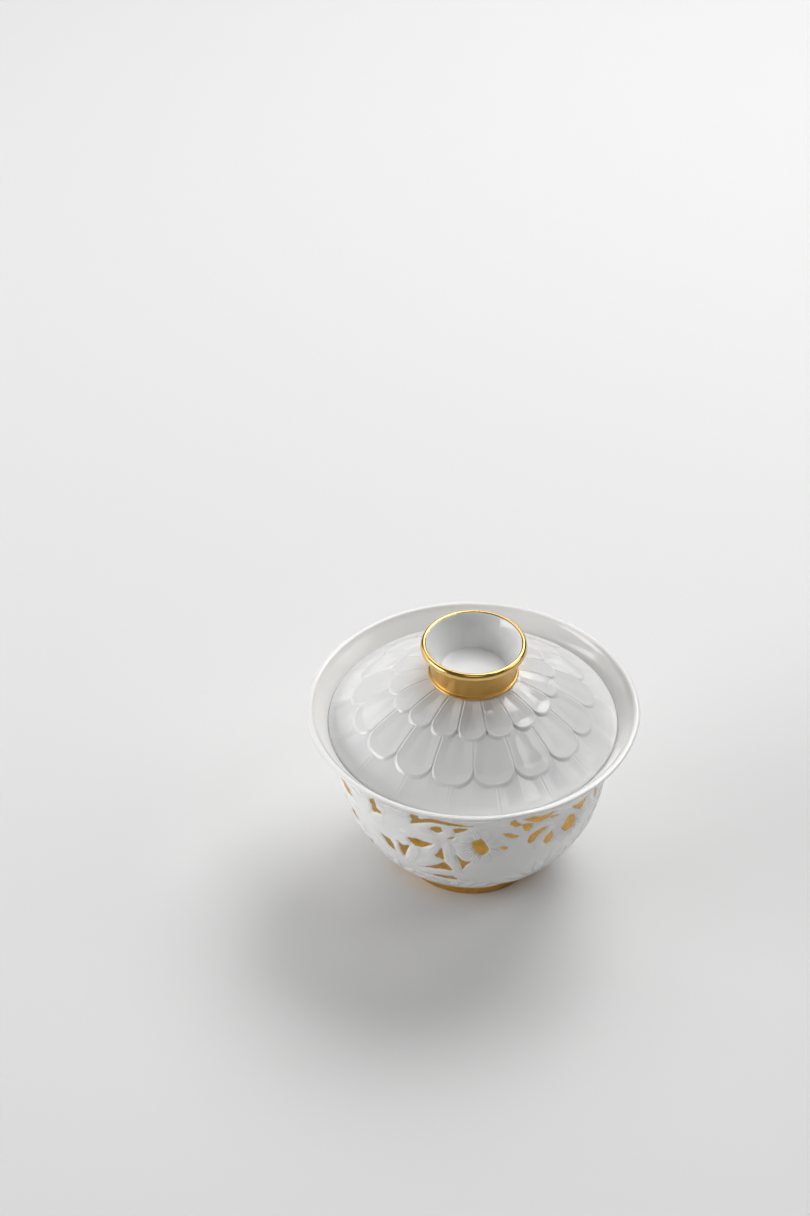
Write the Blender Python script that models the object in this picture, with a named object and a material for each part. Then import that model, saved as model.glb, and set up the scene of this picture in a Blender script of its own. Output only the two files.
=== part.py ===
"""A porcelain tea bowl on a gilded foot ring, with a loose lid that has a ring-shaped knob.

The bowl's outside carries a moulded relief of leaves and flowers over a gilded ground. The lid
carries three tiers of overlapping petals. Both are hollow turned shells, in metres, with +Z up
and the origin under the middle of the foot ring.
"""

import math

import bmesh
import bpy

MM = 0.001

# Bowl
RIM_RADIUS = 52.5 * MM
BOWL_HEIGHT = 61.6 * MM
LIP_ROUNDING = 0.6 * MM
BELLY_RADIUS = 43.4 * MM
BELLY_HEIGHT = 50.0 * MM
BELLY_FULLNESS = 2.9
FLARE_START = 36.0 * MM
FLARE_SHARPNESS = 3.1
WALL_AT_RIM = 1.4 * MM
WALL_AT_FOOT = 3.0 * MM
FLOOR_DISH = 0.7 * MM

# Foot ring
FOOT_RADIUS = 22.8 * MM
FOOT_HEIGHT = 4.2 * MM
FOOT_WALL = 2.8 * MM
FOOT_EDGE = 0.5 * MM
RECESS_DEPTH = 5.0 * MM

# Moulded relief on the bowl
RELIEF_GROUND = 0.6 * MM
LEAF_CROWN = 0.5 * MM
LEAF_WIDTH = 5.0 * MM
RELIEF_EDGE = 0.9 * MM
PETAL_LENGTH = 8.0 * MM
PETAL_WIDTH = 4.6 * MM
PETALS_IN_FLOWER = 9
FAN_LENGTH = 17.0 * MM
FAN_WIDTH = 3.6 * MM

# Lid
SEAT_HEIGHT = 56.3 * MM
SEAT_CLEARANCE = 0.3 * MM
LID_EDGE = 1.5 * MM
LID_WALL = 2.3 * MM
DOME_RISE = 18.7 * MM
DOME_FALL = 1.5
DOME_FLARE = 0.45
LID_PETALS = 17
TIER_1_REACH = 0.40
TIER_2_REACH = 0.77
TIER_1_TURN = -2.4
TIER_2_TURN = 9.3
TIP_ROUNDING = 4.0 * MM
TIER_STEP = 0.8 * MM
TIER_LAP = 0.8 * MM
PETAL_GROOVE = 0.55 * MM

# Ring knob on the lid
KNOB_BASE_RADIUS = 13.4 * MM
KNOB_NECK_RADIUS = 14.3 * MM
KNOB_HEIGHT = 12.0 * MM
KNOB_BEAD_RADIUS = 16.5 * MM
KNOB_BEAD_WIDTH = 1.9 * MM
KNOB_BEAD_HEIGHT = 2.2 * MM
KNOB_FLOOR_RADIUS = 10.0 * MM
KNOB_FLOOR_RISE = 1.4 * MM

# How finely the surfaces are cut
PLAIN_AROUND = 38
RELIEF_AROUND = 3 * PLAIN_AROUND
RELIEF_ROWS = 17
SHELL_ROWS = 7
PETAL_SIDES = 6
TIER_ROWS = 3
BEAD_CUTS = range(-60, 181, 40)

# One half turn of the relief's gilded gaps: azimuth in degrees from the front, share of the way
# up the wall, length and width in mm, lean in degrees, and taper (positive is wider at the far end).
GAPS = (
    (-84, 0.44, 7.0, 3.0, 50, 0.0),
    (-71, 0.66, 14.0, 3.0, 18, 0.0),
    (-66, 0.52, 6.0, 2.6, -60, 0.3),
    (-60, 0.83, 8.0, 2.4, 10, 0.0),
    (-55, 0.39, 6.6, 2.2, 75, 0.0),
    (-45, 0.78, 8.5, 3.4, -70, -0.2),
    (-42, 0.74, 5.0, 1.6, -45, 0.0),
    (-40, 0.55, 7.6, 2.6, -40, 0.0),
    (-32, 0.87, 6.0, 1.2, 5, 0.0),
    (-32, 0.56, 6.0, 4.4, 88, 0.8),
    (-24, 0.83, 8.5, 2.8, 82, 0.0),
    (-23, 0.64, 8.6, 2.8, 0, 0.0),
    (-16, 0.77, 4.6, 3.4, 25, 0.0),
    (-16, 0.48, 9.4, 3.4, 14, 0.4),
    (-15, 0.60, 4.8, 3.4, 70, -0.8),
    (-14, 0.85, 16.0, 2.8, -4, -0.6),
    (-14, 0.38, 9.4, 2.4, 0, 0.4),
    (-10, 0.72, 2.6, 0.9, 25, 0.0),
    (-6, 0.79, 5.4, 2.8, 8, -0.6),
    (-5, 0.55, 7.2, 2.4, -65, -0.3),
    (2, 0.67, 9.0, 6.4, -75, 0.0),
    (12, 0.64, 3.0, 1.5, -20, 0.0),
    (14, 0.72, 6.0, 2.2, -28, 0.0),
    (15, 0.83, 6.2, 2.8, -60, 0.0),
    (21, 0.77, 4.8, 2.8, -50, 0.0),
    (24, 0.83, 12.0, 3.4, -17, 0.0),
    (26, 0.68, 8.6, 2.6, 38, -0.4),
    (32, 0.63, 5.2, 2.6, 70, 0.0),
    (43, 0.65, 8.0, 5.2, -68, 0.0),
    (47, 0.74, 7.8, 3.2, -22, 0.0),
    (60, 0.70, 5.8, 1.5, -75, 0.0),
    (68, 0.60, 8.0, 2.8, 35, 0.0),
    (70, 0.42, 7.5, 2.4, 20, 0.0),
    (74, 0.80, 9.0, 2.6, -15, 0.0),
    (82, 0.68, 7.0, 3.6, 75, 0.4),
    (87, 0.50, 8.0, 2.6, -40, 0.0),
)
FLOWERS = ((2, 0.67), (43, 0.65))
FANS = ((38, 0.18), (-50, 0.12), (85, 0.14))
FAN_LEANS = range(35, 165, 20)

LIP_EDGE_HEIGHT = BOWL_HEIGHT - LIP_ROUNDING
PORCELAIN = 0
GILDING = 1


def clamp(value):
    return min(1.0, max(0.0, value))


def blend(low, high, value):
    """0 below low, 1 above high, with a smooth step between."""
    share = clamp((value - low) / (high - low))
    return share * share * (3 - 2 * share)


def mix(first, second, share):
    return first + (second - first) * share


def bowl_ground(height):
    """Radius of the bowl's outside under the relief: a full belly and an everted lip."""
    up = clamp((height - FOOT_HEIGHT) / (BELLY_HEIGHT - FOOT_HEIGHT))
    out = clamp((height - FLARE_START) / (LIP_EDGE_HEIGHT - FLARE_START))
    belly = mix(FOOT_RADIUS, BELLY_RADIUS, 1 - (1 - up) ** BELLY_FULLNESS)
    return belly + (RIM_RADIUS - BELLY_RADIUS) * out**FLARE_SHARPNESS


def outward(height):
    """The ground's outward normal at a height, as (radial, upward) parts."""
    step = 0.1 * MM
    low = max(FOOT_HEIGHT, height - step)
    high = min(LIP_EDGE_HEIGHT, height + step)
    slope = (bowl_ground(high) - bowl_ground(low)) / (high - low)
    size = math.hypot(1, slope)
    return 1 / size, -slope / size


def bowl_inside(height):
    """The point of the inner wall that faces a height of the ground, one wall inwards."""
    share = (height - FOOT_HEIGHT) / (LIP_EDGE_HEIGHT - FOOT_HEIGHT)
    wall = mix(WALL_AT_FOOT, WALL_AT_RIM, share)
    radial, upward = outward(height)
    return bowl_ground(height) - radial * wall, height - upward * wall


def facing_height(height):
    """The height of the ground that the inner wall at a height faces, found by halving."""
    low, high = FOOT_HEIGHT, LIP_EDGE_HEIGHT
    for _ in range(40):
        middle = (low + high) / 2
        if bowl_inside(middle)[1] < height:
            low = middle
        else:
            high = middle
    return low


def inside_radius(height):
    return bowl_inside(facing_height(height))[0]


def wall_heights(count):
    """Heights that cut the ground's outline into equal lengths, from the foot to the lip."""
    fine = [mix(FOOT_HEIGHT, LIP_EDGE_HEIGHT, i / 400) for i in range(401)]
    lengths = [0.0]
    for low, high in zip(fine, fine[1:]):
        lengths.append(lengths[-1] + math.hypot(high - low, bowl_ground(high) - bowl_ground(low)))
    heights = []
    place = 0
    for row in range(count + 1):
        wanted = lengths[-1] * row / count
        while place < 399 and lengths[place + 1] < wanted:
            place += 1
        share = (wanted - lengths[place]) / (lengths[place + 1] - lengths[place])
        heights.append(mix(fine[place], fine[place + 1], clamp(share)))
    return heights, lengths[-1]


def along_and_across(azimuth, share, shape, wall_length, radius):
    """A point's distances from a shape's middle, along its lean and across it."""
    turn = (azimuth - shape[0] + 90) % 180 - 90
    sideways = math.radians(turn) * radius
    upwards = (share - shape[1]) * wall_length
    lean = math.radians(shape[4])
    along = sideways * math.cos(lean) + upwards * math.sin(lean)
    across = upwards * math.cos(lean) - sideways * math.sin(lean)
    return along, across


def gap_distance(azimuth, share, wall_length, radius):
    """How far a point lies outside the nearest gilded gap; negative inside one."""
    nearest = wall_length
    for gap in GAPS:
        along, across = along_and_across(azimuth, share, gap, wall_length, radius)
        length, width = gap[2] * MM, gap[3] * MM
        place = along / (length / 2)
        bluntness = 1.2 + 1.6 * width / length
        half_width = width / 2 * (1 - abs(place) ** bluntness) * (1 + gap[5] * max(-1, min(1, place)))
        nearest = min(nearest, abs(across) - half_width)
    return nearest


def relief_leaves():
    """Every leaf and petal of half a turn, as a shape row like the gaps'.

    Two leaves lie along each gap, petals stand round each flower's middle, and fans of long
    petals rise from near the foot.
    """
    leaves = []
    for azimuth, share, length, width, lean, _ in GAPS:
        for side in (-1, 1):
            reach = side * (width * MM + LEAF_WIDTH) / 2
            leaves.append((azimuth, share, length * 1.3 * MM, LEAF_WIDTH, lean, reach))
    for azimuth, share in FLOWERS:
        for petal in range(PETALS_IN_FLOWER):
            lean = 360 * petal / PETALS_IN_FLOWER
            leaves.append((azimuth, share, PETAL_LENGTH, PETAL_WIDTH, lean, 0.0))
    for azimuth, share in FANS:
        for lean in FAN_LEANS:
            leaves.append((azimuth, share, FAN_LENGTH, FAN_WIDTH, lean, 0.0))
    return leaves


def leaf_crown(azimuth, share, leaves, wall_length, radius):
    """The highest leaf back at a point, from 0 between the leaves to 1 along a leaf's middle."""
    highest = 0.0
    for leaf in leaves:
        along, across = along_and_across(azimuth, share, leaf, wall_length, radius)
        if leaf[5]:
            across -= leaf[5]
        else:
            along -= leaf[2] / 2
        place = clamp(abs(along) / (leaf[2] / 2))
        half_width = leaf[3] / 2 * (1 - place**2)
        if half_width > abs(across):
            highest = max(highest, math.sqrt(1 - (across / half_width) ** 2) * (1 - place**4))
    return highest


def relief_height(azimuth, share, leaves, wall_length, radius):
    """Height of the relief over the ground; it dies away at the lip and at the foot."""
    rise = blend(0, RELIEF_EDGE, gap_distance(azimuth, share, wall_length, radius))
    crown = leaf_crown(azimuth, share, leaves, wall_length, radius)
    fade = blend(0.02, 0.1, share) * (1 - blend(0.9, 0.97, share))
    return fade * rise * (RELIEF_GROUND + LEAF_CROWN * crown)


def new_ring(mesh, count, point_at):
    """A closed ring of vertices; point_at gives radius and height for an azimuth in degrees."""
    ring = []
    for i in range(count):
        azimuth = 360 * i / count
        radius, height = point_at(azimuth)
        turn = math.radians(azimuth)
        ring.append(mesh.verts.new((radius * math.sin(turn), -radius * math.cos(turn), height)))
    return ring


def plain_ring(mesh, count, radius, height):
    return new_ring(mesh, count, lambda azimuth: (radius, height))


def join_rings(mesh, first, second, material=PORCELAIN):
    """Faces between two rings, where one may have a whole number of times more vertices."""
    if len(first) == len(second):
        for i in range(len(first)):
            after = (i + 1) % len(first)
            face = mesh.faces.new((first[i], first[after], second[after], second[i]))
            face.material_index = material
        return
    fine, coarse = (first, second) if len(first) > len(second) else (second, first)
    ratio = len(fine) // len(coarse)
    for i in range(len(fine)):
        corner = coarse[(i + ratio // 2) // ratio % len(coarse)]
        face = mesh.faces.new((fine[i], fine[(i + 1) % len(fine)], corner))
        face.material_index = material
    for j in range(len(coarse)):
        start = (j * ratio + (ratio + 1) // 2) % len(fine)
        face = mesh.faces.new((coarse[j], fine[start], coarse[(j + 1) % len(coarse)]))
        face.material_index = material


def close_ring(mesh, ring, height, material=PORCELAIN):
    """A fan from a ring to a point on the axis."""
    middle = mesh.verts.new((0, 0, height))
    for i in range(len(ring)):
        face = mesh.faces.new((ring[i], ring[(i + 1) % len(ring)], middle))
        face.material_index = material


def join_all(mesh, rings):
    """Joins (ring, material) pairs in turn; a strip takes its second ring's material."""
    for (first, _), (second, material) in zip(rings, rings[1:]):
        join_rings(mesh, first, second, material)


def foot_rings(mesh):
    """The underside, from the recess out over the flat foot and up to the bowl's wall."""
    inner = FOOT_RADIUS - FOOT_WALL
    outline = (
        (inner - 2 * FOOT_EDGE, RECESS_DEPTH, PORCELAIN),
        (inner - FOOT_EDGE, RECESS_DEPTH - 2 * FOOT_EDGE, PORCELAIN),
        (inner, FOOT_EDGE, PORCELAIN),
        (inner + FOOT_EDGE, 0.0, GILDING),
        (FOOT_RADIUS - FOOT_EDGE, 0.0, GILDING),
        (FOOT_RADIUS, FOOT_EDGE, GILDING),
    )
    rings = []
    for radius, height, material in outline:
        rings.append((plain_ring(mesh, PLAIN_AROUND, radius, height), material))
    return rings


def wall_rings(mesh):
    """The outer wall, with the relief standing on the ground, up to the lip's outer edge.

    Gives the rings, and the vertices that lie on the ground inside a gap.
    """
    heights, wall_length = wall_heights(RELIEF_ROWS)
    leaves = relief_leaves()
    rings = []
    in_gaps = set()
    for row, height in enumerate(heights):
        share = row / RELIEF_ROWS
        ground = bowl_ground(height)
        radial, upward = outward(height)

        def point_at(azimuth):
            raised = relief_height(azimuth, share, leaves, wall_length, ground)
            return ground + radial * raised, height + upward * raised

        ring = new_ring(mesh, RELIEF_AROUND, point_at)
        for i, vertex in enumerate(ring):
            if gap_distance(360 * i / RELIEF_AROUND, share, wall_length, ground) < 0:
                in_gaps.add(vertex)
        rings.append((ring, PORCELAIN))
    rings[0] = (rings[0][0], GILDING)
    return rings, in_gaps


def gild_gaps(mesh, in_gaps):
    """Gilds each face of the wall that lies mostly inside a gap."""
    for face in mesh.faces:
        if sum(vertex in in_gaps for vertex in face.verts) > 1:
            face.material_index = GILDING


def inside_rings(mesh):
    """The lip's crest and the inside: fine down to below the lid's seat, and plain below it."""
    crest_radius = (RIM_RADIUS + inside_radius(LIP_EDGE_HEIGHT)) / 2
    rings = [(plain_ring(mesh, RELIEF_AROUND, crest_radius, BOWL_HEIGHT), PORCELAIN)]
    lip = facing_height(LIP_EDGE_HEIGHT)
    below_seat = facing_height(SEAT_HEIGHT - 2 * LID_EDGE)
    for height in (lip, below_seat):
        rings.append((plain_ring(mesh, RELIEF_AROUND, *bowl_inside(height)), PORCELAIN))
    for i in range(1, SHELL_ROWS + 1):
        height = mix(below_seat, FOOT_HEIGHT, math.sin(math.pi / 2 * i / SHELL_ROWS))
        rings.append((plain_ring(mesh, PLAIN_AROUND, *bowl_inside(height)), PORCELAIN))
    return rings


def lid_radius(height):
    """Radius of the lid's edge at a height, held off the bowl's inner wall by the clearance."""
    step = 0.1 * MM
    slope = (inside_radius(height + step) - inside_radius(height - step)) / (2 * step)
    return inside_radius(height) - SEAT_CLEARANCE * math.hypot(1, slope)


def dome_height(radius, edge_radius):
    """Height of the petal tips' surface: it falls ever faster from the knob, then eases at the edge."""
    out = clamp((radius - KNOB_BASE_RADIUS) / (edge_radius - KNOB_BASE_RADIUS))
    fall = out**DOME_FALL + DOME_FLARE * out**3 * (1 - out)
    return SEAT_HEIGHT + DOME_RISE * (1 - fall)


def petal_place(azimuth, turn):
    """How far an azimuth lies across its petal, from -1 to 1."""
    pitch = 360 / LID_PETALS
    return 2 * (((azimuth - turn) / pitch + 0.5) % 1) - 1


def tip_radius(azimuth, reach, turn, edge_radius):
    """Radius where a tier of petals ends: a row of rounded tips."""
    across = abs(petal_place(azimuth, turn))
    back = TIP_ROUNDING * (1 - math.sqrt(max(0.0, 1 - across**2.6)))
    return mix(KNOB_BASE_RADIUS, edge_radius, reach) - back


def dome_rings(mesh, edge_radius):
    """The lid's petals from the edge up to the knob, each tier rising out from under the next."""
    around = LID_PETALS * PETAL_SIDES
    tiers = (
        (TIER_2_TURN, (TIER_2_REACH, TIER_2_TURN), None),
        (TIER_2_TURN, (TIER_1_REACH, TIER_1_TURN), (TIER_2_REACH, TIER_2_TURN)),
        (TIER_1_TURN, None, (TIER_1_REACH, TIER_1_TURN)),
    )
    rings = []
    for number, (turn, start, end) in enumerate(tiers):
        shift = turn + 180 / LID_PETALS if number == 0 else turn
        for row in range(TIER_ROWS + 1):
            share = 1 - row / TIER_ROWS

            def point_at(azimuth):
                inner = tip_radius(azimuth, *start, edge_radius) if start else KNOB_BASE_RADIUS
                outer = tip_radius(azimuth, *end, edge_radius) if end else edge_radius
                lap = TIER_LAP if start else 0.0
                radius = mix(inner + lap, outer, share)
                across = abs(petal_place(azimuth, shift))
                drop = TIER_STEP * (1 - share) if start else 0.0
                groove = PETAL_GROOVE * across**4 * math.sin(math.pi * min(0.75, share))
                return radius, dome_height(radius, edge_radius) - drop - groove

            rings.append((new_ring(mesh, around, point_at), PORCELAIN))
    return rings


def knob_outline(base):
    """The ring knob's section as (radius, height, material), from its foot over the bead to the floor."""
    bead_radius = KNOB_BEAD_RADIUS - KNOB_BEAD_WIDTH / 2
    bead_height = base + KNOB_HEIGHT - KNOB_BEAD_HEIGHT / 2
    neck_height = bead_height - KNOB_BEAD_HEIGHT / 2
    floor = base + KNOB_FLOOR_RISE
    outline = [
        (KNOB_BASE_RADIUS, mix(base, neck_height, 0.1), GILDING),
        (mix(KNOB_BASE_RADIUS, KNOB_NECK_RADIUS, 0.4), mix(base, neck_height, 0.6), GILDING),
        (KNOB_NECK_RADIUS, neck_height, GILDING),
    ]
    for degrees in BEAD_CUTS:
        turn = math.radians(degrees)
        radius = bead_radius + KNOB_BEAD_WIDTH / 2 * math.cos(turn)
        height = bead_height + KNOB_BEAD_HEIGHT / 2 * math.sin(turn)
        outline.append((radius, height, GILDING))
    outline.append((KNOB_FLOOR_RADIUS + KNOB_FLOOR_RISE, floor + 2 * KNOB_FLOOR_RISE, PORCELAIN))
    outline.append((KNOB_FLOOR_RADIUS, floor, PORCELAIN))
    return outline


def knob_rings(mesh, edge_radius):
    """The ring knob: its gilded side and bead, its white inner wall and floor."""
    around = LID_PETALS * PETAL_SIDES // 2
    rings = []
    for radius, height, material in knob_outline(dome_height(KNOB_BASE_RADIUS, edge_radius)):
        rings.append((plain_ring(mesh, around, radius, height), material))
    return rings


def lid_underside_rings(mesh, edge_radius):
    """The hollow under the lid, from its middle out to the edge that sits in the bowl."""
    around = LID_PETALS * PETAL_SIDES // 3
    under = SEAT_HEIGHT - LID_EDGE
    foot = lid_radius(under)
    drop = LID_WALL * math.hypot(1, DOME_RISE / edge_radius)
    ceiling = dome_height(0, edge_radius) - LID_WALL
    rings = []
    for i in range(1, SHELL_ROWS - 1):
        radius = (foot - LID_WALL) * i / (SHELL_ROWS - 2)
        height = min(ceiling, dome_height(radius, edge_radius) - drop)
        rings.append((plain_ring(mesh, around, radius, height), PORCELAIN))
    rings.append((plain_ring(mesh, around, foot - LID_EDGE / 2, under), PORCELAIN))
    rings.append((plain_ring(mesh, 3 * around, foot, under + LID_EDGE / 4), PORCELAIN))
    return rings


def finish_object(mesh, name, materials):
    """Puts a built mesh into the scene as one smooth-shaded object."""
    bmesh.ops.recalc_face_normals(mesh, faces=mesh.faces)
    data = bpy.data.meshes.new(name)
    mesh.to_mesh(data)
    mesh.free()
    data.shade_smooth()
    data.set_sharp_from_angle(angle=math.radians(35))
    for material in materials:
        data.materials.append(material)
    piece = bpy.data.objects.new(name, data)
    bpy.context.scene.collection.objects.link(piece)
    return piece


def new_material(name, colour, roughness, metallic):
    material = bpy.data.materials.new(name)
    material.use_nodes = True
    shader = material.node_tree.nodes["Principled BSDF"]
    shader.inputs["Base Color"].default_value = (*colour, 1)
    shader.inputs["Roughness"].default_value = roughness
    shader.inputs["Metallic"].default_value = metallic
    return material


def make_bowl(materials):
    mesh = bmesh.new()
    wall, in_gaps = wall_rings(mesh)
    rings = foot_rings(mesh) + wall + inside_rings(mesh)
    join_all(mesh, rings)
    gild_gaps(mesh, in_gaps)
    close_ring(mesh, rings[0][0], RECESS_DEPTH)
    close_ring(mesh, rings[-1][0], bowl_inside(FOOT_HEIGHT)[1] - FLOOR_DISH)
    return finish_object(mesh, "bowl", materials)


def make_lid(materials):
    mesh = bmesh.new()
    edge_radius = lid_radius(SEAT_HEIGHT)
    underside = lid_underside_rings(mesh, edge_radius)
    rings = underside + dome_rings(mesh, edge_radius) + knob_rings(mesh, edge_radius)
    join_all(mesh, rings)
    close_ring(mesh, rings[0][0], dome_height(0, edge_radius) - LID_WALL)
    close_ring(mesh, rings[-1][0], dome_height(0, edge_radius) + KNOB_FLOOR_RISE)
    return finish_object(mesh, "lid", materials)


def clear_scene():
    for piece in list(bpy.data.objects):
        bpy.data.objects.remove(piece, do_unlink=True)


clear_scene()
glaze = new_material("white glazed porcelain", (0.83, 0.83, 0.81), 0.12, 0.0)
gold = new_material("burnished gilding", (0.72, 0.47, 0.17), 0.3, 1.0)
make_bowl((glaze, gold))
make_lid((glaze, gold))
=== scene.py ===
import math

import bpy
import numpy as np
from mathutils import Matrix


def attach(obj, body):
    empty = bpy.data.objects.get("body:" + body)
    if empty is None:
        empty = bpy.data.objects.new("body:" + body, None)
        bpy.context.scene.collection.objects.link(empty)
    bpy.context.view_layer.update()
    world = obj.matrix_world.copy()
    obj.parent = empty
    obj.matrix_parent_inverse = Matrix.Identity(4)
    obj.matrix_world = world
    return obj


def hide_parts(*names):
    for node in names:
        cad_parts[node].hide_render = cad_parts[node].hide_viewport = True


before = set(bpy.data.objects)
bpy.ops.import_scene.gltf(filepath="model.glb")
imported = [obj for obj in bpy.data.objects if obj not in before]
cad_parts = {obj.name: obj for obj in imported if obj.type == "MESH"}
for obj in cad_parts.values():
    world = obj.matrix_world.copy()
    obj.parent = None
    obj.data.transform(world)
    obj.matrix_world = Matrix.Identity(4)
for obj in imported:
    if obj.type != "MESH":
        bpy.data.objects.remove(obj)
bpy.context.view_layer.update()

mm = 0.001
print("frame loaded")


def smooth(low, high, value):  # 0 below low, 1 above high, eased in between
    share = np.clip((value - low) / (high - low), 0, 1)
    return share * share * (3 - 2 * share)


def mix(first, second, share):
    return first + (second - first) * share


def ripple(azimuth, seed, low, high, count):
    # count sine waves round the axis, each a whole number of times, added and over the root of their count
    chance = np.random.default_rng(seed)
    total = np.zeros_like(azimuth, dtype=float)
    for _ in range(count):
        times = chance.integers(low, high)
        start = chance.uniform(0, 6.28)
        total = total + np.sin(np.radians(azimuth) * times + start)
    return total / math.sqrt(count)


# Shells are stacks of closed rings, worked out as whole arrays. A section is one grid of rings:
# x is radius times the sine of the azimuth, y is minus radius times its cosine, z is the height.
def section(radius, azimuth, height, **values):
    shape = np.broadcast(radius, azimuth, height).shape
    angle = np.radians(np.broadcast_to(azimuth, shape))
    radius = np.broadcast_to(radius, shape)
    height = np.broadcast_to(height, shape)
    points = np.stack([radius * np.sin(angle), -radius * np.cos(angle), height], -1)
    spread = {name: np.broadcast_to(value, shape) for name, value in values.items()}
    return {"points": points, "values": spread}


def ringAzimuths(count, turn=0.0):  # even steps round the axis, in degrees
    return (np.arange(count) * 360 / count + turn)[None, :]


def stripFaces(start, rows, around):  # quads between the rows of one section, facing outwards
    i = np.arange(around)
    row = np.arange(rows - 1)[:, None] * around + start
    after = (i + 1) % around
    quads = np.stack([row + i, row + after, row + around + after, row + around + i], -1)
    return quads.reshape(-1, 4)


def joinFaces(lower, lowerCount, upper, upperCount):
    # joins two rings; the count of one may be a multiple of the other's
    if lowerCount == upperCount:
        i = np.arange(lowerCount)
        after = (i + 1) % lowerCount
        return np.stack([lower + i, lower + after, upper + after, upper + i], -1)
    flip = lowerCount < upperCount
    fine, fineCount = (upper, upperCount) if flip else (lower, lowerCount)
    coarse, coarseCount = (lower, lowerCount) if flip else (upper, upperCount)
    ratio = fineCount // coarseCount
    i = np.arange(fineCount)
    j = np.arange(coarseCount)
    corner = coarse + (i + ratio // 2) // ratio % coarseCount
    onFine = np.stack([fine + i, fine + (i + 1) % fineCount, corner], -1)
    between = fine + (j * ratio + (ratio + 1) // 2) % fineCount
    onCoarse = np.stack([between, coarse + (j + 1) % coarseCount, coarse + j], -1)
    faces = np.concatenate([onFine, onCoarse])
    return faces[:, ::-1] if flip else faces


def buildShell(name, sections, lowHeight, highHeight, material):  # closes the stack with a point at each end
    points = [np.array([[0, 0, lowHeight]])]
    values = {key: [value.reshape(-1)[:1]] for key, value in sections[0]["values"].items()}
    faces = []
    count = 1
    before = None
    for part in sections:
        rows, around, _ = part["points"].shape
        points.append(part["points"].reshape(-1, 3))
        for key, value in part["values"].items():
            values[key].append(value.reshape(-1))
        if before is None:
            i = np.arange(around)
            faces.append(np.stack([0 * i, count + (i + 1) % around, count + i], -1))
        else:
            faces.append(joinFaces(before[0], before[1], count, around))
        faces.append(stripFaces(count, rows, around))
        before = (count + (rows - 1) * around, around)
        count += rows * around
    points.append(np.array([[0, 0, highHeight]]))
    for key in values:
        values[key].append(values[key][-1][-1:])
    i = np.arange(before[1])
    faces.append(np.stack([before[0] + i, before[0] + (i + 1) % before[1], count + 0 * i], -1))
    points = np.concatenate(points)
    mesh = bpy.data.meshes.new(name)
    corners = np.concatenate([part.reshape(-1) for part in faces]).astype(np.int32)
    sizes = np.concatenate([np.full(len(part), part.shape[1]) for part in faces])
    starts = np.concatenate([[0], np.cumsum(sizes)[:-1]]).astype(np.int32)
    mesh.vertices.add(len(points))
    mesh.vertices.foreach_set("co", points.astype(np.float32).reshape(-1))
    mesh.loops.add(len(corners))
    mesh.loops.foreach_set("vertex_index", corners)
    mesh.polygons.add(len(sizes))
    mesh.polygons.foreach_set("loop_start", starts)
    mesh.update(calc_edges=True)
    mesh.validate()
    for key, parts in values.items():
        attribute = mesh.attributes.new(key, "FLOAT", "POINT")
        attribute.data.foreach_set("value", np.concatenate(parts).astype(np.float32))
    mesh.shade_smooth()
    mesh.materials.append(material)
    piece = bpy.data.objects.new(name, mesh)
    bpy.context.scene.collection.objects.link(piece)
    triangles = int((sizes - 2).sum())
    print(name, "triangles", triangles, "height", round(float(points[:, 2].max()) / mm, 2), "mm")
    return piece


# Shader building blocks
def newGroup(name, inputs, outputs):
    group = bpy.data.node_groups.new(name, "ShaderNodeTree")
    for label, kind, value in inputs:
        socket = group.interface.new_socket(label, in_out="INPUT", socket_type=kind)
        if value is not None:
            socket.default_value = value
    for label, kind in outputs:
        group.interface.new_socket(label, in_out="OUTPUT", socket_type=kind)
    return group, group.nodes.new("NodeGroupInput"), group.nodes.new("NodeGroupOutput")


def addNode(tree, kind, settings=None, **links):
    # each link is named after its socket, with _ for a space, or n and a number for a numbered socket
    node = tree.nodes.new(kind)
    for key, value in (settings or {}).items():
        setattr(node, key, value)
    for key, value in links.items():
        numbered = key[0] == "n" and key[1:].isdigit()
        socket = node.inputs[int(key[1:]) if numbered else key.replace("_", " ")]
        if isinstance(value, bpy.types.NodeSocket):
            tree.links.new(value, socket)
        else:
            socket.default_value = value
    return node


def sums(tree, operation, first, second=0.0, third=0.0):
    node = addNode(tree, "ShaderNodeMath", {"operation": operation}, n0=first, n1=second, n2=third)
    return node.outputs[0]


def blendColour(tree, share, first, second):
    return addNode(tree, "ShaderNodeMix", {"data_type": "RGBA"}, n0=share, n6=first, n7=second).outputs[2]


def blendValue(tree, share, first, second):
    return addNode(tree, "ShaderNodeMix", {"data_type": "FLOAT"}, n0=share, n2=first, n3=second).outputs[0]


def mapRange(tree, value, low, high):  # 0 at low and below, 1 at high and above
    return addNode(tree, "ShaderNodeMapRange", None, Value=value, From_Min=low, From_Max=high).outputs[0]


def noise(tree, place, scale, detail=2.0, roughness=0.5):  # scale is in waves to the metre
    values = {"Scale": scale, "Detail": detail, "Roughness": roughness}
    return addNode(tree, "ShaderNodeTexNoise", None, Vector=place, **values).outputs["Fac"]


# What the bowl and the lid share: the porcelain's depth, the glaze's waves and the gilding's grain
porcelain = {"ior": 1.5, "depth": 0.12, "depthScale": 1.5 * mm, "depthColours": (1.0, 0.9, 0.8)}
glazeWaves = {
    "broad": 38.0, "fine": 260.0, "pooling": 0.9,
    "broadHeight": 0.12, "fineHeight": 0.012, "fineRough": 0.05,
}
gilding = {
    "border": 900.0, "patches": 320.0, "grain": 2600.0,
    "wornFrom": 0.45, "wornTo": 0.75, "wornRough": 0.12, "coatRoughness": 0.3,
}


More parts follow.
